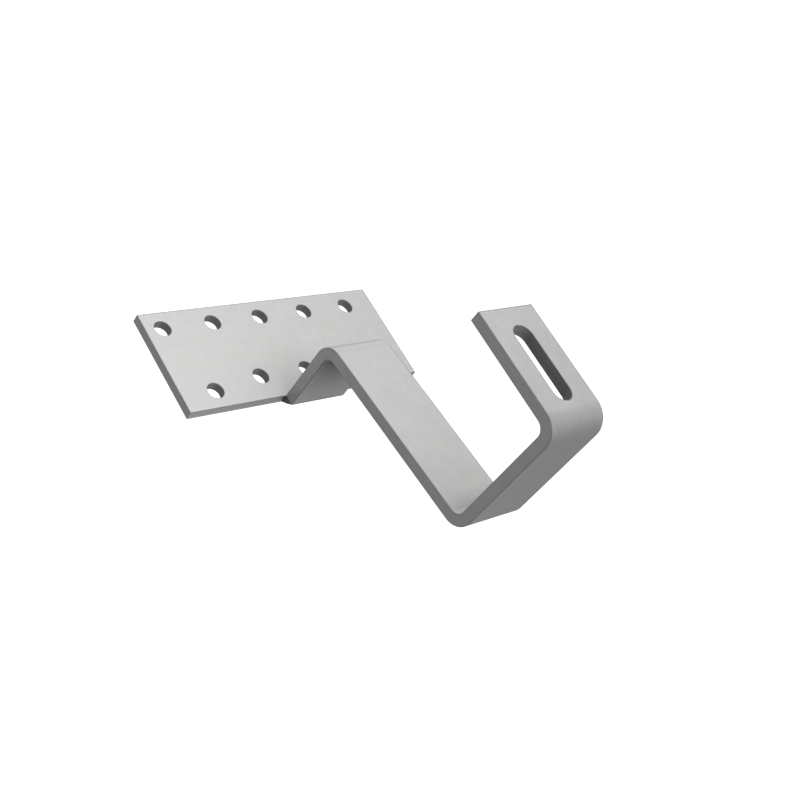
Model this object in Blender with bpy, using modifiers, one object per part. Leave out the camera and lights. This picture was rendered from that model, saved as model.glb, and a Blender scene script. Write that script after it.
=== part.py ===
"""A solar roof hook: a drilled base plate, a bent and slotted flat bar, and the weld that joins them.

The plate's underside lies on the rafter and the origin is the middle of that face. +Z points away
from the roof, +Y points up the slope and the arm reaches down the slope, towards -Y. Lengths are in
metres.
"""

from math import atan2, copysign, cos, pi, radians, sin, tan

import bmesh
import bpy
from mathutils import Matrix, Vector

# Base plate, cut from sheet
PLATE_LENGTH = 0.150
PLATE_DEPTH = 0.060
PLATE_THICKNESS = 0.005

# Screw holes, in a rear and a front row that are staggered sideways
HOLE_DIAMETER = 0.009
HOLES_IN_ROW = 5
HOLE_END_MARGIN = 0.010
ROW_STAGGER = 0.010
REAR_ROW_MARGIN = 0.010
FRONT_ROW_MARGIN = 0.010
INNER_HOLE_SETBACK = 0.004

# Arm, one flat bar with three bends
BAR_WIDTH = 0.035
BAR_THICKNESS = 0.006
BEND_INNER_RADIUS = 0.005
RISER_HEIGHT = 0.0455
SPAN_SLOPE = radians(5.75)
ARM_REACH = 0.116
ARM_HEIGHT = 0.130
RAIL_LEG_LENGTH = 0.064

# Oblong slot for the rail bolt
SLOT_WIDTH = 0.011
SLOT_LENGTH = 0.040
SLOT_END_MARGIN = 0.010

# Weld in the open corner under the arm's foot
WELD_CROWN = 0.0004

# Edge finish and clearance between the pieces
BAR_EDGE_RADIUS = 0.0005
DEBURR = 0.0003
JOINT_GAP = 0.0003

# Fineness of the round stretches
HOLE_SIDES = 48
ARC_STEP = radians(4)
CUTTER_OVERRUN = 0.002
WELD_DISTANCE = 0.00001
SHARP_ANGLE = radians(35)

# Heights and depths that several pieces share
PLATE_FRONT = -PLATE_DEPTH / 2
FOOT_LEVEL = PLATE_THICKNESS + JOINT_GAP
POST_FACE = PLATE_FRONT - ARM_REACH
ARM_TOP = PLATE_THICKNESS + ARM_HEIGHT
RAIL_LEG_END = POST_FACE + RAIL_LEG_LENGTH

STEEL = {"color": (0.60, 0.60, 0.59), "metallic": 1.0, "roughness": 0.42}
WELD_STEEL = {"color": (0.30, 0.30, 0.30), "metallic": 1.0, "roughness": 0.50}


def clear_scene():
    """Remove whatever the scene holds."""
    for thing in list(bpy.data.objects):
        bpy.data.objects.remove(thing, do_unlink=True)


def new_collection(name):
    """Make a collection in the scene."""
    collection = bpy.data.collections.new(name)
    bpy.context.scene.collection.children.link(collection)
    return collection


def steel_material(name, look):
    """Make a steel from its colour, metallic value and roughness."""
    material = bpy.data.materials.new(name)
    material.use_nodes = True
    shader = material.node_tree.nodes["Principled BSDF"]
    shader.inputs["Base Color"].default_value = (*look["color"], 1.0)
    shader.inputs["Metallic"].default_value = look["metallic"]
    shader.inputs["Roughness"].default_value = look["roughness"]
    material.diffuse_color = (*look["color"], 1.0)
    return material


def arc(centre, radius, start, turn):
    """Points along an arc from the angle start through turn, both ends included."""
    steps = max(2, round(abs(turn) / ARC_STEP))
    angles = [start + turn * i / steps for i in range(steps + 1)]
    return [centre + radius * Vector((cos(a), sin(a))) for a in angles]


def bent_bar_side(spine, thickness, inner_radius, side):
    """One side of a bent flat bar: +1 is left of the spine's direction and -1 is right of it.

    The spine is the bar's middle line with sharp corners. At each corner the bar turns about a
    centre that lies inner_radius beyond its inner side, so both sides are tangent to their legs.
    """
    points = []
    for before, corner, after in zip(spine, spine[1:], spine[2:]):
        into = (corner - before).normalized()
        out = (after - corner).normalized()
        turn = atan2(into.cross(out), into.dot(out))
        inward = copysign(1, turn)
        middle_radius = inner_radius + thickness / 2
        start = corner - into * middle_radius * tan(abs(turn) / 2)
        to_centre = Vector((-into.y, into.x)) * inward
        centre = start + to_centre * middle_radius
        radius = middle_radius - side * inward * thickness / 2
        points += arc(centre, radius, atan2(-to_centre.y, -to_centre.x), turn)
    ends = []
    for tip, towards, sign in ((spine[0], spine[1], 1), (spine[-1], spine[-2], -1)):
        along = (towards - tip).normalized() * sign
        ends.append(tip + Vector((-along.y, along.x)) * side * thickness / 2)
    return [ends[0], *points, ends[1]]


def bent_bar_outline(spine, thickness, inner_radius):
    """The closed side view of a bent flat bar."""
    left = bent_bar_side(spine, thickness, inner_radius, 1)
    right = bent_bar_side(spine, thickness, inner_radius, -1)
    return left + right[::-1]


def arm_spine():
    """Middle line of the arm in side view, as (Y, Z) corners from the foot to the rail leg's end.

    The riser's rear face stands on the plate's front edge. The span's top face starts from the
    sharp corner at RISER_HEIGHT and climbs at SPAN_SLOPE to the post.
    """
    half = BAR_THICKNESS / 2
    riser = PLATE_FRONT - half
    post = POST_FACE + half
    corner_height = PLATE_THICKNESS + RISER_HEIGHT

    def span_middle(y):
        return corner_height + (PLATE_FRONT - y) * tan(SPAN_SLOPE) - half / cos(SPAN_SLOPE)

    return [
        Vector((riser, FOOT_LEVEL)),
        Vector((riser, span_middle(riser))),
        Vector((post, span_middle(post))),
        Vector((post, ARM_TOP - half)),
        Vector((RAIL_LEG_END, ARM_TOP - half)),
    ]


def slot_outline():
    """Oblong outline of the slot in plan, as (X, Y) points, with full-round ends."""
    radius = SLOT_WIDTH / 2
    first = RAIL_LEG_END - SLOT_END_MARGIN - radius
    last = RAIL_LEG_END - SLOT_END_MARGIN - SLOT_LENGTH + radius
    return arc(Vector((0, first)), radius, 0, pi) + arc(Vector((0, last)), radius, pi, pi)


def weld_outline():
    """Side view of the weld bead, as (Y, Z) points.

    It fills the corner between the plate's front edge and the arm's foot, as deep as the plate and
    as wide as the bar are thick, and its free face is crowned outward.
    """
    root = Vector((PLATE_FRONT - JOINT_GAP, FOOT_LEVEL - JOINT_GAP))
    heel = Vector((root.x, 0))
    toe = Vector((PLATE_FRONT - BAR_THICKNESS, root.y))
    chord = toe - heel
    crown = min(WELD_CROWN, chord.length / 4)
    radius = (chord.length ** 2 / 4 + crown ** 2) / (2 * crown)
    inward = Vector((chord.y, -chord.x)).normalized()
    centre = (heel + toe) / 2 + inward * (radius - crown)
    from_heel = heel - centre
    to_toe = toe - centre
    turn = atan2(from_heel.cross(to_toe), from_heel.dot(to_toe))
    face = arc(centre, radius, atan2(from_heel.y, from_heel.x), turn)
    return [root, *face]


def flat_outline_solid(name, outline, thickness, collection, rotation=(0, 0, 0), location=(0, 0, 0)):
    """Extrude a closed flat outline to a solid centred on the outline's plane."""
    curve = bpy.data.curves.new(name, "CURVE")
    curve.dimensions = "2D"
    curve.fill_mode = "BOTH"
    curve.extrude = thickness / 2
    spline = curve.splines.new("POLY")
    spline.points.add(len(outline) - 1)
    for point, place in zip(spline.points, outline):
        point.co = (place.x, place.y, 0, 1)
    spline.use_cyclic_u = True
    drawn = bpy.data.objects.new(name + "_outline", curve)
    drawn.rotation_euler = rotation
    drawn.location = location
    collection.objects.link(drawn)
    bpy.context.view_layer.update()
    evaluated = drawn.evaluated_get(bpy.context.evaluated_depsgraph_get())
    mesh = bpy.data.meshes.new_from_object(evaluated)
    mesh.name = name
    place = drawn.matrix_world.copy()
    bpy.data.objects.remove(drawn, do_unlink=True)
    bpy.data.curves.remove(curve)

    solid = bmesh.new()
    solid.from_mesh(mesh)
    bmesh.ops.remove_doubles(solid, verts=solid.verts, dist=WELD_DISTANCE)
    bmesh.ops.dissolve_limit(solid, angle_limit=radians(0.1), verts=solid.verts, edges=solid.edges)
    bmesh.ops.recalc_face_normals(solid, faces=solid.faces)
    solid.to_mesh(mesh)
    solid.free()
    thing = bpy.data.objects.new(name, mesh)
    thing.matrix_world = place
    collection.objects.link(thing)
    return thing


def box(name, size, centre, collection):
    """A plain rectangular block."""
    solid = bmesh.new()
    bmesh.ops.create_cube(solid, size=1, matrix=Matrix.Diagonal((*size, 1)))
    mesh = bpy.data.meshes.new(name)
    solid.to_mesh(mesh)
    solid.free()
    thing = bpy.data.objects.new(name, mesh)
    thing.location = centre
    collection.objects.link(thing)
    return thing


def hide_as_cutter(thing):
    """Show a cutter as a wire and leave it out of the model."""
    thing.hide_render = True
    thing.display_type = "WIRE"


def cut_with(thing, cutter):
    """Take the cutter out of the piece."""
    cut = thing.modifiers.new("cut_" + cutter.name, "BOOLEAN")
    cut.operation = "DIFFERENCE"
    cut.solver = "EXACT"
    cut.object = cutter
    hide_as_cutter(cutter)


def round_edges(thing, name, width, segments):
    """Round every edge that is still sharp when this step is reached."""
    edges = thing.modifiers.new(name, "BEVEL")
    edges.width = width
    edges.segments = segments
    edges.limit_method = "ANGLE"
    edges.angle_limit = radians(60)
    edges.use_clamp_overlap = True


def shade(thing, material):
    """Give the piece its steel and smooth shading that keeps its flat faces flat."""
    thing.data.materials.clear()
    thing.data.materials.append(material)
    thing.data.shade_smooth()
    thing.data.set_sharp_from_angle(angle=SHARP_ANGLE)
    normals = thing.modifiers.new("flat_faces", "WEIGHTED_NORMAL")
    normals.keep_sharp = True


def screw_hole_places():
    """Centres of the screw holes in plan.

    Each row leaves HOLE_END_MARGIN at one end of the plate and ROW_STAGGER more at the other. In
    the front row, the holes between the two end ones stand back from the arm.
    """
    half_length = PLATE_LENGTH / 2
    pitch = (PLATE_LENGTH - 2 * HOLE_END_MARGIN - ROW_STAGGER) / (HOLES_IN_ROW - 1)
    first_rear = -half_length + HOLE_END_MARGIN
    first_front = first_rear + ROW_STAGGER
    rear_y = PLATE_DEPTH / 2 - REAR_ROW_MARGIN
    front_y = PLATE_FRONT + FRONT_ROW_MARGIN
    places = []
    for column in range(HOLES_IN_ROW):
        at_end = column in (0, HOLES_IN_ROW - 1)
        setback = 0 if at_end else INNER_HOLE_SETBACK
        places.append((first_rear + column * pitch, rear_y))
        places.append((first_front + column * pitch, front_y + setback))
    return places


def screw_hole_cutter(collection):
    """All the drills for the plate, joined as one cutter."""
    depth = PLATE_THICKNESS + 2 * CUTTER_OVERRUN
    solid = bmesh.new()
    for x, y in screw_hole_places():
        bmesh.ops.create_cone(
            solid,
            cap_ends=True,
            segments=HOLE_SIDES,
            radius1=HOLE_DIAMETER / 2,
            radius2=HOLE_DIAMETER / 2,
            depth=depth,
            matrix=Matrix.Translation((x, y, PLATE_THICKNESS / 2)),
        )
    mesh = bpy.data.meshes.new("screw_holes")
    solid.to_mesh(mesh)
    solid.free()
    cutter = bpy.data.objects.new("screw_holes", mesh)
    collection.objects.link(cutter)
    return cutter


def make_base_plate(parts, cutters, material):
    """The flat plate that is screwed to the rafter."""
    plate = box(
        "base_plate",
        (PLATE_LENGTH, PLATE_DEPTH, PLATE_THICKNESS),
        (0, 0, PLATE_THICKNESS / 2),
        parts,
    )
    cut_with(plate, screw_hole_cutter(cutters))
    round_edges(plate, "deburr", DEBURR, 1)
    shade(plate, material)


def make_hook_arm(parts, cutters, material):
    """The bent flat bar: riser, span, post and slotted rail leg."""
    outline = bent_bar_outline(arm_spine(), BAR_THICKNESS, BEND_INNER_RADIUS)
    arm = flat_outline_solid("hook_arm", outline, BAR_WIDTH, parts, rotation=(pi / 2, 0, pi / 2))
    round_edges(arm, "bar_edges", BAR_EDGE_RADIUS, 2)
    slot = flat_outline_solid(
        "rail_slot",
        slot_outline(),
        BAR_THICKNESS + 2 * CUTTER_OVERRUN,
        cutters,
        location=(0, 0, ARM_TOP - BAR_THICKNESS / 2),
    )
    cut_with(arm, slot)
    round_edges(arm, "deburr", DEBURR, 1)
    shade(arm, material)


def make_corner_weld(parts, material):
    """The weld bead, as long as the bar is wide."""
    weld = flat_outline_solid("corner_weld", weld_outline(), BAR_WIDTH, parts, rotation=(pi / 2, 0, pi / 2))
    shade(weld, material)


def main():
    clear_scene()
    parts = new_collection("solar_roof_hook")
    cutters = new_collection("cutters")
    steel = steel_material("pickled_steel", STEEL)
    weld_steel = steel_material("weld_steel", WELD_STEEL)
    make_base_plate(parts, cutters, steel)
    make_hook_arm(parts, cutters, steel)
    make_corner_weld(parts, weld_steel)
    bpy.context.view_layer.update()


main()
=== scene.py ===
# Solar roof hook: finished steel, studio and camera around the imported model. Lengths are in metres.
import math

import bmesh
import bpy
import numpy as np
from mathutils import Matrix, Vector


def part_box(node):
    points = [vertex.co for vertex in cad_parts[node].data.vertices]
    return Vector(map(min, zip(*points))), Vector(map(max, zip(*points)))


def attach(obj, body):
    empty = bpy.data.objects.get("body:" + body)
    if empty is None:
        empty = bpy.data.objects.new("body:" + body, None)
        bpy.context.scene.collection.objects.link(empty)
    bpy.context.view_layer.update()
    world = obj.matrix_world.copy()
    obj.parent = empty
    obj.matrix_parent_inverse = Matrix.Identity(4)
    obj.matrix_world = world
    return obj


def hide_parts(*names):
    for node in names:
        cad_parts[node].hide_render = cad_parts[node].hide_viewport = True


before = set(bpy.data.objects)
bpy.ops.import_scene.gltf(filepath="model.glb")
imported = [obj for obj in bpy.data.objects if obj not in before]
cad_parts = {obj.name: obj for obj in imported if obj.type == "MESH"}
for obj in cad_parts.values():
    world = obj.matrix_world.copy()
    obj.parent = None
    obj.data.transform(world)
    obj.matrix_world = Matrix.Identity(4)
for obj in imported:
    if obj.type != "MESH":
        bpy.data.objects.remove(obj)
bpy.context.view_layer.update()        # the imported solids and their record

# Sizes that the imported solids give
plateLow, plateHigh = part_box("base_plate")
armLow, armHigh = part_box("hook_arm")
weldLow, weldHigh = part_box("corner_weld")

# Base plate: what a user would change
plateSizes = {
    "edgeRadius": 0.0002,       # rounding of the sheet's cut edges
    "holeRadius": 0.0045,
    "rimRadius": 0.00015,       # rounding of the hole rims
    "rimLine": 0.35,            # strength of the line round the holes, against that along the edges
    "exitRoughAndShade": 1.2,           # how much rougher the hole walls get where the cut comes out, and darker with painted shade deeper in the hole
    "cleanAndLitEnd": 0.0,            # how much cleaner they are cut, and lighter with painted light, on the side that faces forward
    "columns": 5,
    "endMargin": 0.010,         # first hole centre to the nearer end
    "stagger": 0.010,           # sideways shift between the two rows
    "rearMargin": 0.010,
    "frontMargin": 0.010,
    "innerSetback": 0.004,      # the three middle front holes stand back from the arm
    "rowSplit": 0.0,            # line between the cells of the two rows
    "meshStep": 0.00125,
}

# Bent flat bar: what a user would change
armSizes = {
    "thickness": 0.006,
    "bendRadius": 0.005,        # inside of each bend
    "riserHeight": 0.0455,      # plate top to the sharp corner over the riser
    "spanSlope": math.radians(5.75),
    "railLeg": 0.064,           # post face to the free end
    "edgeRadius": 0.0003,       # rolled edges of the bar
    "slotWidth": 0.011,
    "slotLength": 0.040,
    "slotMargin": 0.010,        # free end to the slot
    "rimRadius": 0.00015,
    "rimLine": 0.8,
    "exitRoughAndShade": 0.5,
    "cleanAndLitEnd": 1.6,            # the slot's wall is cut cleaner, and painted lighter, at the free end
    "meshStep": 0.00125,
    "legStep": 0.004,           # along the straight legs
    "bendStep": math.radians(2),
}

# Weld bead: what a user would change
weldSizes = {
    "overlap": 0.0003,          # how far the metal runs into the plate and the foot
    "crown": 0.00035,
    "rippleDepth": 0.00022,
    "ripplePitch": 0.0013,
    "rippleBow": 1.3,           # how far each ripple trails at the bead's edges, in pitches
    "wander": 0.35,             # how far the hand strays from even ripples, in pitches
    "wanderRate": 900.0,        # radians of straying per metre
    "wanderStart": 1.0,
    "endRound": 0.0006,
    "endSteps": 5,
    "lengthSteps": 280,
    "faceSteps": 22,
}

flatName = "flatPlace"          # attribute: across, along and through the sheet before it is bent
cutName = "cutMarks"            # attribute: line along an edge, cut wall, roughness and painted shade of a hole's wall
lineWidth = 0.0004              # heat line that the cut leaves along every edge
burrLine = 6.0                  # how much darker it gets where a rough cut comes out
tolerance = 1e-6                # places nearer than this are the same
sameDecimals = 6                # and numbers that agree in so many decimals
mergeDistance = 2e-6


# A closed outline is a row of points on the flat face. A grid is its points, whether it closes on
# itself, and its cut marks: three numbers a point, which are 1 where a mark is at full strength.

def divided(start, end, step):
    # Evenly spaced numbers from start to end, about a step apart
    return np.linspace(start, end, max(1, round(abs(end - start) / step)) + 1)


def dividedBetween(stops, step):
    # The same through every stop of a sorted list
    runs = [divided(a, b, step)[:-1] for a, b in zip(stops[:-1], stops[1:])]
    return np.concatenate([*runs, stops[-1:]])


def boxOutline(across, along):
    # The four sides of a rectangle, sampled at the given numbers, anticlockwise
    front = np.stack([across[:-1], np.full(len(across) - 1, along[0])], 1)
    right = np.stack([np.full(len(along) - 1, across[-1]), along[:-1]], 1)
    back = np.stack([across[:0:-1], np.full(len(across) - 1, along[-1])], 1)
    left = np.stack([np.full(len(along) - 1, across[0]), along[:0:-1]], 1)
    return np.concatenate([front, right, back, left])


def boxEdge(across, along, cornerSteps=6):
    # The same rectangle with its outward directions, which turn through a quarter circle at each corner
    sides = (
        (across, along[0]),
        (along, across[-1]),
        (across[::-1], along[-1]),
        (along[::-1], across[0]),
    )
    points = []
    outward = []
    for number, (samples, fixed) in enumerate(sides):
        facing = math.pi * (number - 1) / 2
        row = np.stack([samples, np.full(len(samples), fixed)], 1)
        if number % 2:
            row = row[:, ::-1]
        points.append(row)
        outward.append(np.tile([math.cos(facing), math.sin(facing)], (len(row), 1)))
        turn = facing + np.linspace(0, math.pi / 2, cornerSteps + 1)[1:-1]
        points.append(np.tile(row[-1], (len(turn), 1)))
        outward.append(np.stack([np.cos(turn), np.sin(turn)], 1))
    return np.concatenate(points), np.concatenate(outward)


def oblongFacing(outline, first, last, radius):
    # For each outline point, the oblong's rim point nearest to it and the direction into the hole:
    # the closest point of the middle line from first to last, moved by the radius towards the
    # outline point. A round hole's middle line is one point.
    line = last - first
    squared = max(float(line @ line), tolerance ** 2)
    share = np.clip((outline - first) @ line / squared, 0, 1)[:, None]
    middle = first + share * line
    away = outline - middle
    away /= np.linalg.norm(away, axis=1, keepdims=True)
    return middle + radius * away, -away


def edgeStrip(points, outward, low, high, radius, rimLine=1.0, roughAndShade=0.0, exitRoughAndShade=0.0, steps=5):
    # The edge's profile carried round an outline that starts one radius inside the edge: a quarter
    # circle out of the upper face, the wall, and a quarter circle into the lower face. A hole's wall
    # is as rough, and as darkened with painted shade, as its mark says at each point, and more so by its
    # depth times the exit factor.
    angle = np.linspace(0, math.pi / 2, steps + 1)
    out = radius * np.append(np.sin(angle), 1)
    drop = radius * np.append(1 - np.cos(angle), 1) + np.append(np.zeros(steps + 1), lineWidth)
    wall = np.append(angle / (math.pi / 2), 1)
    line = np.append(np.full(steps + 1, rimLine), 0)
    out, wall, line = (np.concatenate([part, part[::-1]]) for part in (out, wall, line))
    height = np.concatenate([high - drop, (low + drop)[::-1]])
    deeper = exitRoughAndShade * (high - height) / (high - low)
    line = line * (1 + burrLine * wall * deeper)
    flat = points[None] + out[:, None, None] * outward[None]
    profile = (line, wall, height, deeper)
    line, wall, height, deeper = (np.broadcast_to(part[:, None], flat.shape[:2]) for part in profile)
    return np.dstack([flat, height]), True, np.dstack([line, wall, wall * (roughAndShade + deeper)])


def faceRing(start, end, height, steps=4, lineAtEnd=0.0):
    # Flat ring between two outlines: each point slides straight from the first to the second, and
    # the line along the edge grows with it
    share = np.linspace(0, 1, steps + 1)[:, None, None]
    flat = start[None] * (1 - share) + end[None] * share
    marks = np.zeros((*flat.shape[:2], 3))
    marks[..., 0] = lineAtEnd * share[..., 0]
    return np.dstack([flat, np.full(flat.shape[:2], height)]), True, marks


def faceStrip(across, along, height):
    # Plain rectangle of the flat face: every number across at every number along
    x, y = np.meshgrid(across, along)
    return np.dstack([x, y, np.full_like(x, height)]), False, np.zeros((*x.shape, 3))


def pierced(across, along, first, last, radius, low, high, cut):
    # A rectangle of sheet with one round or oblong hole: both faces, the line round the rim and the
    # hole's wall, darkened with painted shade, which may be cut cleaner and painted lighter where it faces
    # back from the last end
    outer = boxOutline(across, along)
    rim = cut["rimRadius"]
    lineRing, _ = oblongFacing(outer, first, last, radius + rim + lineWidth)
    rimRing, inward = oblongFacing(outer, first, last, radius + rim)
    # The wall's mark for roughness and painted shade: less where it faces forward, and below zero it
    # paints the wall lighter
    roughAndShade = 1 - cut["cleanAndLitEnd"] * np.clip(-inward[:, 1], 0, 1)
    grids = [edgeStrip(rimRing, inward, low, high, rim, cut["rimLine"], roughAndShade, cut["exitRoughAndShade"])]
    for height in (low, high):
        grids.append(faceRing(outer, lineRing, height))
        grids.append(faceRing(lineRing, rimRing, height, 1, cut["rimLine"]))
    return grids


def trimmed(across, along, low, high, radius):
    # The line along the outer edge of both faces, and the outer edge itself. The numbers across and
    # along are those of the faces, which end one line's width inside the rounding.
    widerAcross, widerAlong = across.copy(), along.copy()
    for numbers in (widerAcross, widerAlong):
        numbers[[0, -1]] += (-lineWidth, lineWidth)
    inner = boxOutline(across, along)
    outer = boxOutline(widerAcross, widerAlong)
    points, outward = boxEdge(widerAcross, widerAlong)
    grids = [faceRing(inner, outer, height, 1, 1.0) for height in (low, high)]
    return [*grids, edgeStrip(points, outward, low, high, radius)]


def gridFaces(rows, columns, closed):
    # Quads of a grid, as corner numbers; a closed grid joins its last column to its first
    last = columns if closed else columns - 1
    i, j = np.meshgrid(np.arange(rows - 1), np.arange(last), indexing="ij")
    k = (j + 1) % columns
    near, far = i * columns, (i + 1) * columns
    return np.stack([near + j, near + k, far + k, far + j], -1).reshape(-1, 4)


def pieceFromGrids(name, grids, shape=lambda flat: flat):
    # Joins grids to one closed mesh. shape carries the flat places to their final ones.
    faces = []
    count = 0
    for points, closed, _ in grids:
        rows, columns = points.shape[:2]
        faces.append(gridFaces(rows, columns, closed) + count)
        count += rows * columns
    flat, marks = (np.concatenate([grid[part].reshape(-1, 3) for grid in grids]) for part in (0, 2))
    mesh = bpy.data.meshes.new(name)
    mesh.from_pydata(shape(flat).tolist(), [], np.concatenate(faces).tolist())
    for attributeName, values in ((flatName, flat), (cutName, marks)):
        attribute = mesh.attributes.new(attributeName, "FLOAT_VECTOR", "POINT")
        attribute.data.foreach_set("vector", values.ravel())
    joined = bmesh.new()
    joined.from_mesh(mesh)
    bmesh.ops.remove_doubles(joined, verts=joined.verts, dist=mergeDistance)
    bmesh.ops.recalc_face_normals(joined, faces=joined.faces)
    joined.to_mesh(mesh)
    joined.free()
    mesh.shade_smooth()
    piece = bpy.data.objects.new(name, mesh)
    bpy.context.scene.collection.objects.link(piece)
    weighted = piece.modifiers.new("flatFaces", "WEIGHTED_NORMAL")
    weighted.weight = 100        # large faces decide, so they stay flat up to their rounded edges
    return piece


# Base plate

def holeCentres():
    # Rear row from the left margin and front row shifted by the stagger, in one pitch
    s = plateSizes
    number = np.arange(s["columns"])
    gaps = s["columns"] - 1
    pitch = (plateHigh.x - plateLow.x - 2 * s["endMargin"] - s["stagger"]) / gaps
    rearX = plateLow.x + s["endMargin"] + number * pitch
    rearY = np.full(s["columns"], plateHigh.y - s["rearMargin"])
    frontX = rearX + s["stagger"]
    frontY = plateLow.y + s["frontMargin"] + s["innerSetback"] * (number % gaps != 0)
    return np.stack([rearX, rearY], 1), np.stack([frontX, frontY], 1)


def makePlate():
    # Each hole has a rectangular cell, bounded halfway to its neighbours. Both rows share one set
    # of numbers across, so their cells meet point to point.
    s = plateSizes
    low, high = plateLow.z, plateHigh.z
    inset = s["edgeRadius"] + lineWidth
    left, right = plateLow.x + inset, plateHigh.x - inset
    front, rear = plateLow.y + inset, plateHigh.y - inset
    bands = []
    for row, bandLow, bandHigh in zip(holeCentres(), (s["rowSplit"], front), (rear, s["rowSplit"])):
        walls = np.concatenate([[left], (row[1:, 0] + row[:-1, 0]) / 2, [right]])
        bands.append((row, walls, divided(bandLow, bandHigh, s["meshStep"])))
    stops = np.unique(np.round(np.concatenate([walls for _, walls, _ in bands]), sameDecimals))
    across = dividedBetween(stops, s["meshStep"])
    grids = []
    for row, walls, along in bands:
        for centre, a, b in zip(row, walls[:-1], walls[1:]):
            inCell = across[(across > a - tolerance) & (across < b + tolerance)]
            grids += pierced(inCell, along, centre, centre, s["holeRadius"], low, high, s)
    upSide = dividedBetween([front, s["rowSplit"], rear], s["meshStep"])
    grids += trimmed(across, upSide, low, high, s["edgeRadius"])
    return pieceFromGrids("drilledPlate", grids)


# Bent flat bar

def towards(heading):
    # Unit step along a heading in the hook's side view, Y and Z
    return np.array([math.cos(heading), math.sin(heading)])


def barRoute():
    # The bar's middle line as runs, straight or round: length, turn, start point and start direction.
    # Each sharp corner gives up the tangent length, the middle radius times the tangent of half the turn.
    s = armSizes
    half = s["thickness"] / 2
    slope = s["spanSlope"]
    cornerHeight = plateHigh.z + s["riserHeight"]
    middleRadius = s["bendRadius"] + half

    def spanHeight(y):
        return cornerHeight + (armHigh.y - y) * math.tan(slope) - half / math.cos(slope)

    riser, post, top = armHigh.y - half, armLow.y + half, armHigh.z - half
    corners = np.array([
        [riser, armLow.z],
        [riser, spanHeight(riser)],
        [post, spanHeight(post)],
        [post, top],
        [armLow.y + s["railLeg"], top],
    ])
    legs = np.diff(corners, axis=0)
    lengths = np.hypot(legs[:, 0], legs[:, 1])
    headings = np.arctan2(legs[:, 1], legs[:, 0])
    turns = (np.diff(headings) + math.pi) % (2 * math.pi) - math.pi
    given = np.concatenate([[0], middleRadius * np.tan(np.abs(turns) / 2), [0]])
    runs = []
    place = corners[0]
    for i, (length, heading) in enumerate(zip(lengths, headings)):
        straight = length - given[i] - given[i + 1]
        runs.append({"length": straight, "turn": 0.0, "start": place, "heading": heading})
        place = place + straight * towards(heading)
        if i < len(turns):
            bend = abs(turns[i]) * middleRadius
            runs.append({"length": bend, "turn": turns[i], "start": place, "heading": heading})
            place = corners[i + 1] + given[i + 1] * towards(headings[i + 1])
    return runs


def bentBar(runs):
    # Carries flat places (across, along, through) onto the bent bar: the point at that length of the
    # middle line, moved through the thickness along the line's left-hand normal
    def shape(flat):
        out = np.empty_like(flat)
        out[:, 0] = flat[:, 0]
        begin = 0.0
        for number, run in enumerate(runs):
            inRun = flat[:, 1] >= begin - tolerance if number else np.full(len(flat), True)
            gone = flat[inRun, 1] - begin
            if run["turn"]:
                bend = run["turn"] / run["length"]
                angle = run["heading"] + bend * gone
                y = run["start"][0] + (np.sin(angle) - math.sin(run["heading"])) / bend
                z = run["start"][1] - (np.cos(angle) - math.cos(run["heading"])) / bend
            else:
                angle = np.full(len(gone), run["heading"])
                y = run["start"][0] + gone * math.cos(run["heading"])
                z = run["start"][1] + gone * math.sin(run["heading"])
            out[inRun, 1] = y - flat[inRun, 2] * np.sin(angle)
            out[inRun, 2] = z + flat[inRun, 2] * np.cos(angle)
            begin += run["length"]
        return out

    return shape


def makeArm():
    # Cut and slotted as a flat bar, then bent
    s = armSizes
    runs = barRoute()
    ends = np.cumsum([run["length"] for run in runs])
    half = s["thickness"] / 2
    edge = s["edgeRadius"] + lineWidth
    wide = (armHigh.x - armLow.x) / 2 - edge
    across = divided(-wide, wide, s["meshStep"])
    along = [[edge]]
    for run, begin, end in zip(runs[:-1], [edge, *ends[:-2]], ends):
        step = s["bendStep"] * run["length"] / abs(run["turn"]) if run["turn"] else s["legStep"]
        along.append(divided(begin, end, step)[1:])
    plain = np.concatenate(along)
    slotted = divided(ends[-2], ends[-1] - edge, s["meshStep"])
    slotRadius = s["slotWidth"] / 2
    slotEnd = ends[-1] - s["slotMargin"]
    first = np.array([0, slotEnd - s["slotLength"] + slotRadius])
    last = np.array([0, slotEnd - slotRadius])
    grids = [faceStrip(across, plain, side) for side in (-half, half)]
    grids += pierced(across, slotted, first, last, slotRadius, -half, half, s)
    grids += trimmed(across, np.concatenate([plain, slotted[1:]]), -half, half, s["edgeRadius"])
    return pieceFromGrids("bentBar", grids, bentBar(runs))


# Weld bead

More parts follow.
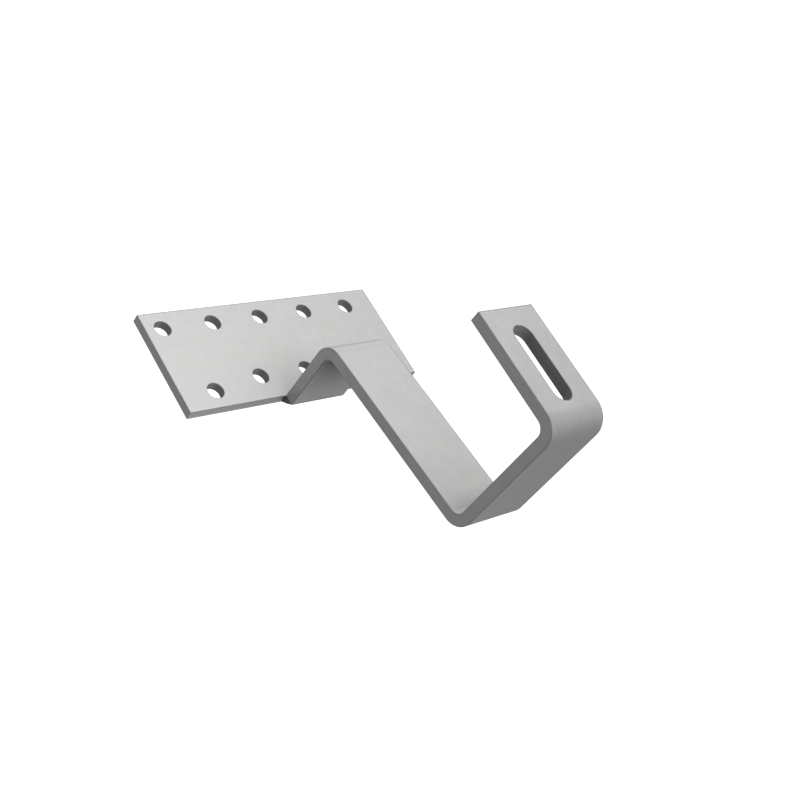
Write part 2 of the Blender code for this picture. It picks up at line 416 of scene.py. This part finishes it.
def makeWeld():
    # A triangular section carried along the joint. Its free face is the straight line from the heel
    # to the toe, pushed outward by a crown, the parabola 4 v (1 - v), and by ripples, a sine along
    # the joint that trails by the square of the distance from the face's middle. The section shrinks
    # to the bead's ends along a quarter circle.
    s = weldSizes
    root = np.array([weldHigh.y + s["overlap"], weldHigh.z + s["overlap"]])
    heel = np.array([root[0], weldLow.z])
    toe = np.array([weldLow.y, root[1]])
    line = toe - heel
    outward = np.array([-line[1], line[0]]) / np.hypot(*line)
    angle = np.linspace(0, math.pi / 2, s["endSteps"] + 1)[1:]
    inset = s["endRound"] * (1 - np.sin(angle))
    pulledIn = s["endRound"] * (1 - np.cos(angle))
    step = (weldHigh.x - weldLow.x) / s["lengthSteps"]
    middle = divided(weldLow.x + s["endRound"], weldHigh.x - s["endRound"], step)
    x = np.concatenate([weldLow.x + inset[::-1], middle, weldHigh.x - inset])
    shrink = np.concatenate([pulledIn[::-1], np.zeros(len(middle)), pulledIn])
    xs, vs = np.meshgrid(x, np.linspace(0, 1, s["faceSteps"] + 1), indexing="ij")
    bulge = 4 * vs * (1 - vs)
    stray = s["wander"] * np.sin(xs * s["wanderRate"] + s["wanderStart"])
    phase = xs / s["ripplePitch"] + s["rippleBow"] * (2 * vs - 1) ** 2 + stray
    ripple = (np.sin(2 * math.pi * phase) - 1) / 2
    push = s["crown"] * bulge + s["rippleDepth"] * ripple * np.sqrt(bulge)
    face = heel + vs[..., None] * line + push[..., None] * outward
    section = np.concatenate([face, np.broadcast_to(root, (len(x), 1, 2))], 1)
    heart = (heel + toe + root) / 3
    reach = np.linalg.norm(section - heart, axis=2, keepdims=True)
    section = heart + (section - heart) * (1 - shrink[:, None, None] / reach)
    body = np.dstack([np.broadcast_to(x[:, None], section.shape[:2]), section])
    caps = [np.stack([body[i], np.broadcast_to([x[i], *heart], body[i].shape)]) for i in (0, -1)]
    return pieceFromGrids("cornerWeldBead", [(grid, True, np.zeros(grid.shape)) for grid in (body, *caps)])


# Shader maths

class Wire:
    # One output of a material's nodes. Arithmetic on wires adds Math nodes.
    def __init__(self, tree, socket):
        self.tree = tree
        self.socket = socket

    def node(self, kind, settings=None, sockets=None, output=0):
        # Adds a node of any kind: its settings first, then the values or links of its sockets
        made = self.tree.nodes.new(kind)
        for name, value in (settings or {}).items():
            setattr(made, name, value)
        for name, value in (sockets or {}).items():
            if isinstance(value, Wire):
                self.tree.links.new(value.socket, made.inputs[name])
            else:
                made.inputs[name].default_value = value
        return Wire(self.tree, made.outputs[output])

    def maths(self, operation, first, second=0.0):
        return self.node("ShaderNodeMath", {"operation": operation}, {0: first, 1: second})

    def __add__(self, other):
        return self.maths("ADD", self, other)

    def __radd__(self, other):
        return self.maths("ADD", other, self)

    def __sub__(self, other):
        return self.maths("SUBTRACT", self, other)

    def __rsub__(self, other):
        return self.maths("SUBTRACT", other, self)

    def __mul__(self, other):
        return self.maths("MULTIPLY", self, other)

    def __rmul__(self, other):
        return self.maths("MULTIPLY", other, self)

    def clamped(self):
        return self.node("ShaderNodeClamp", {}, {"Value": self})

    def axis(self, letter):
        return self.node("ShaderNodeSeparateXYZ", {}, {"Vector": self}, letter)

    def noise(self, factors, detail, roughness):
        # Noise whose grains are one over each factor long, centred on zero
        place = self.node("ShaderNodeVectorMath", {"operation": "MULTIPLY"}, {0: self, 1: factors})
        grain = {"Vector": place, "Scale": 1.0, "Detail": detail, "Roughness": roughness}
        return self.node("ShaderNodeTexNoise", {"noise_dimensions": "3D"}, grain, "Fac") - 0.5


def tint(share, dark, light):
    # Colour between two greys by a share
    ends = {"Factor": share, "A": (*dark, 1), "B": (*light, 1)}
    return share.node("ShaderNodeMix", {"data_type": "RGBA"}, ends, "Result")


def shaded(colour, factor):
    # A colour made darker by a factor
    return colour.node("ShaderNodeVectorMath", {"operation": "SCALE"}, {0: colour, "Scale": factor})


def weighed(start, weights, parts):
    # The start plus each part times its weight
    total = start
    for name, weight in weights.items():
        total = total + parts[name] * weight
    return total


def newMaterial(name, look):
    # A Principled material whose even values stand on the shader itself
    material = bpy.data.materials.new(name)
    material.use_nodes = True
    tree = material.node_tree
    shader = tree.nodes["Principled BSDF"]
    shader.inputs["Metallic"].default_value = look["metallic"]
    material.diffuse_color = (*look["light"], 1)
    start = Wire(tree, None)
    place = start.node("ShaderNodeAttribute", {"attribute_name": flatName}, {}, "Vector")
    return material, shader, place


def paintedRecessShade(place, recessShade, reach):
    # Painted shade: the colour darkened where metal stands close to metal, by the ambient occlusion within
    # the reach
    light = place.node("ShaderNodeAmbientOcclusion", {"samples": 8}, {"Distance": reach}, "AO")
    return 1 - (1 - light) * recessShade


def finish(shader, colour, roughness, height, distance):
    # Colour, roughness and the fine relief of a steel
    tree = colour.tree
    tree.links.new(colour.socket, shader.inputs["Base Color"])
    tree.links.new(roughness.socket, shader.inputs["Roughness"])
    relief = {"Strength": 1.0, "Distance": distance, "Height": height}
    bump = height.node("ShaderNodeBump", {}, relief, "Normal")
    tree.links.new(bump.socket, shader.inputs["Normal"])


# Finishes: what a user would change. A noise is its grains per metre across, along and through the
# sheet, its detail and its roughness. Weights say how much each noise adds.
steelLook = {
    "metallic": 0.5,
    "dark": (0.50, 0.50, 0.495),
    "light": (0.68, 0.68, 0.672),
    "tones": {"grain": 0.9, "mottle": 0.45, "rings": 0.8, "holeRings": 1.4},
    "mottle": ((140.0, 140.0, 140.0), 3.0, 0.55),
    "pits": ((5200.0, 5200.0, 5200.0), 1.0, 0.5),
    "rings": ((110.0, 110.0, 1500.0), 3.0, 0.6),
    "wear": ((300.0, 300.0, 300.0), 3.0, 0.6),
    "wearWeight": 0.8,
    "roughness": 0.42,
    "roughening": {"grain": 0.25, "mottle": 0.10, "rings": 0.20},
    "relief": 0.00003,
    "heights": {"grain": 0.5, "pits": 0.35, "rings": 1.0, "holeRings": 2.0},
    "edgeLine": 0.62,           # how much darker the line along the edges is, on the rolled faces
    "wallLine": 0.12,           # and on the cut walls
}
barLook = {
    **steelLook,
    "grain": ((3500.0, 160.0, 3500.0), 3.0, 0.6),
    "holeShade": 0.35,          # painted shade: how much darker the walls of the holes are
    # painted shade where metal stands close to metal, and how far it reaches
    "recessShade": 1.0,
    "recessShadeReach": 0.015,
    "lowerSideShade": 1.5,          # how much more painted shade lies on the side that the bar turns down
    "lowerSideShadeReach": 0.021,        # and how much farther it reaches there
}
plateLook = {
    **steelLook,
    "grain": ((160.0, 3500.0, 3500.0), 3.0, 0.6),
    "holeShade": 0.06,
    # painted shade where metal stands close to metal, and how far it reaches
    "recessShade": 0.8,
    "recessShadeReach": 0.034,
    "lowerSideShade": 0.0,
    "lowerSideShadeReach": 0.0,
}
weldLook = {
    "metallic": 0.5,
    # dark grey: the weld's own dull scale, made darker still as painted shade for the shaded joint under
    # the bar
    "dark": (0.15, 0.15, 0.15),
    "light": (0.30, 0.30, 0.30),
    "scale": ((900.0, 900.0, 900.0), 4.0, 0.6),
    "scaleTone": 1.2,
    "roughness": 0.5,
    "scaleRoughness": 0.3,
    "relief": 0.00005,
    # painted shade where metal stands close to metal, and how far it reaches
    "recessShade": 0.6,
    "recessShadeReach": 0.03,
}


def rolledSteel(name, look):
    # Pickled rolled steel: fine grain drawn out along the rolling direction, a soft mottle from the
    # acid bath, and rings along the cut walls that follow the face, stronger in the holes
    material, shader, place = newMaterial(name, look)
    cuts = place.node("ShaderNodeAttribute", {"attribute_name": cutName}, {}, "Vector")
    line, wall, roughAndShade = (cuts.axis(letter) for letter in "XYZ")
    noises = {part: place.noise(*look[part]) for part in ("grain", "mottle", "pits", "rings")}
    noises["grain"] = noises["grain"] * (1 - wall)
    noises["rings"] = noises["rings"] * wall
    noises["holeRings"] = noises["rings"] * roughAndShade
    tone = weighed(0.5, look["tones"], noises).clamped()
    lineShade = look["edgeLine"] + wall * (look["wallLine"] - look["edgeLine"])
    worn = line * lineShade * (1 + place.noise(*look["wear"]) * look["wearWeight"])
    # The side that the bar turns down, under the span, gets more painted shade, reaching farther
    lower = (place.axis("Z") * (1 / armSizes["thickness"]) + 0.5).clamped() * (1 - wall)
    recessShade = look["recessShade"] + lower * look["lowerSideShade"]
    reach = look["recessShadeReach"] + lower * look["lowerSideShadeReach"]
    # Painted shade: hole walls darkened by their mark, and metal darkened where other metal stands close;
    # the edge line and its wear are the steel's own
    darker = (1 - worn) * (1 - roughAndShade * look["holeShade"]) * paintedRecessShade(place, recessShade, reach)
    colour = shaded(tint(tone, look["dark"], look["light"]), darker)
    roughness = weighed(look["roughness"], look["roughening"], noises)
    finish(shader, colour, roughness, weighed(0.0, look["heights"], noises), look["relief"])
    return material


def weldSteel(name, look):
    # Dull weld metal with fine scale, its dark grey partly painted shade for the shaded joint
    material, shader, place = newMaterial(name, look)
    scale = place.noise(*look["scale"])
    tone = (0.5 + scale * look["scaleTone"]).clamped()
    # painted shade where the weld stands close to metal
    darker = paintedRecessShade(place, look["recessShade"], look["recessShadeReach"])
    colour = shaded(tint(tone, look["dark"], look["light"]), darker)
    finish(shader, colour, look["roughness"] + scale * look["scaleRoughness"], scale, look["relief"])
    return material


def dress(piece, material, node):
    # The piece stands for its solid, rides on the one body and takes its finish
    piece.data.materials.append(material)
    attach(piece, "root")
    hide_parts(node)
    print(piece.name, "made and dressed:", len(piece.data.polygons), "faces")


# Studio: what a user would change
studio = {
    "floorLevel": -1.10,
    "floorSize": 12.0,
    "floorShade": (0.88, 0.88, 0.88),
    "floorRoughness": 0.9,
    "floorGlow": 0.75,          # keeps the floor pale out to its far edge
    "room": 0.272,              # even light from all round
    "backdrop": 1.0,            # what the camera sees past the floor
}

# Soft rectangular lamps: place and size in metres, power in watts
lamps = {
    "keyPanel": {"place": (0.6, 0.9, 1.7), "size": (1.6, 1.3), "power": 12.8},
    "topPanel": {"place": (-0.2, 0.3, 1.9), "size": (1.6, 1.3), "power": 7.0},
    "sidePanel": {"place": (1.5, -0.2, 1.2), "size": (1.6, 1.3), "power": 2.1},
    "backPanel": {"place": (1.5, 1.3, 0.25), "size": (1.6, 1.3), "power": 6.3},
    "frontPanel": {"place": (0.3, -1.5, 1.3), "size": (1.6, 1.3), "power": 6.1},
    "lowPanel": {"place": (0.3, -0.45, -0.75), "size": (0.6, 0.6), "power": 0.45},
}
lampAim = (0.0, -0.05, 0.05)


def makeFloor():
    # Plain pale floor below the hook, seen by the camera and left out of the steel's reflections
    half = studio["floorSize"] / 2
    level = studio["floorLevel"]
    corners = [(-half, -half, level), (half, -half, level), (half, half, level), (-half, half, level)]
    mesh = bpy.data.meshes.new("floor")
    mesh.from_pydata(corners, [], [(0, 1, 2, 3)])
    material = bpy.data.materials.new("paleFloor")
    material.use_nodes = True
    shader = material.node_tree.nodes["Principled BSDF"]
    shader.inputs["Base Color"].default_value = (*studio["floorShade"], 1)
    shader.inputs["Roughness"].default_value = studio["floorRoughness"]
    shader.inputs["Emission Color"].default_value = (1, 1, 1, 1)
    shader.inputs["Emission Strength"].default_value = studio["floorGlow"]
    mesh.materials.append(material)
    floor = bpy.data.objects.new("floor", mesh)
    floor.visible_glossy = False
    floor.visible_diffuse = False
    bpy.context.scene.collection.objects.link(floor)


def makeRoom():
    # Even grey light on the hook; the camera sees a pale backdrop in its place
    world = bpy.data.worlds.new("room")
    world.use_nodes = True
    tree = world.node_tree
    back = tree.nodes["Background"]
    seen = Wire(tree, tree.nodes.new("ShaderNodeLightPath").outputs["Is Camera Ray"])
    strength = studio["room"] + seen * (studio["backdrop"] - studio["room"])
    tree.links.new(strength.socket, back.inputs["Strength"])
    back.inputs["Color"].default_value = (1, 1, 1, 1)
    bpy.context.scene.world = world


def makeLamp(name, lamp):
    # A rectangular soft light that faces its aim
    data = bpy.data.lights.new(name, "AREA")
    data.shape = "RECTANGLE"
    data.size, data.size_y = lamp["size"]
    data.energy = lamp["power"]
    light = bpy.data.objects.new(name, data)
    light.location = lamp["place"]
    facing = Vector(lampAim) - Vector(lamp["place"])
    light.rotation_euler = facing.to_track_quat("-Z", "Y").to_euler()
    light.visible_camera = False
    bpy.context.scene.collection.objects.link(light)


# Camera: the photograph's viewpoint, solved from the hook's own edges
photoCamera = {
    "place": (-0.4067, -0.2784, 0.4321),
    "looks": (0.6862, 0.3485, -0.6384),
    "up": (0.1442, 0.7951, 0.5891),
    "focal": 56.19,             # millimetres
    "sensor": 36.0,             # millimetres
    "nearest": 0.01,
}


def makeCamera():
    # Right, up and back, each square to the others, are the columns of the camera's turn
    data = bpy.data.cameras.new("photoCamera")
    data.sensor_width = photoCamera["sensor"]
    data.lens = photoCamera["focal"]
    data.clip_start = photoCamera["nearest"]
    camera = bpy.data.objects.new("photoCamera", data)
    back = -Vector(photoCamera["looks"]).normalized()
    right = Vector(photoCamera["up"]).cross(back).normalized()
    up = back.cross(right)
    turn = Matrix((right, up, back)).transposed().to_4x4()
    camera.matrix_world = Matrix.Translation(photoCamera["place"]) @ turn
    bpy.context.scene.collection.objects.link(camera)
    bpy.context.scene.camera = camera


makeCamera()
print("camera placed")

dress(makePlate(), rolledSteel("plateSteel", plateLook), "base_plate")
dress(makeArm(), rolledSteel("barSteel", barLook), "hook_arm")
dress(makeWeld(), weldSteel("weldSteel", weldLook), "corner_weld")

makeFloor()
makeRoom()
for lampName, lamp in lamps.items():
    makeLamp(lampName, lamp)
bpy.context.scene.view_settings.view_transform = "Standard"
print("studio lit")

bpy.context.view_layer.update()
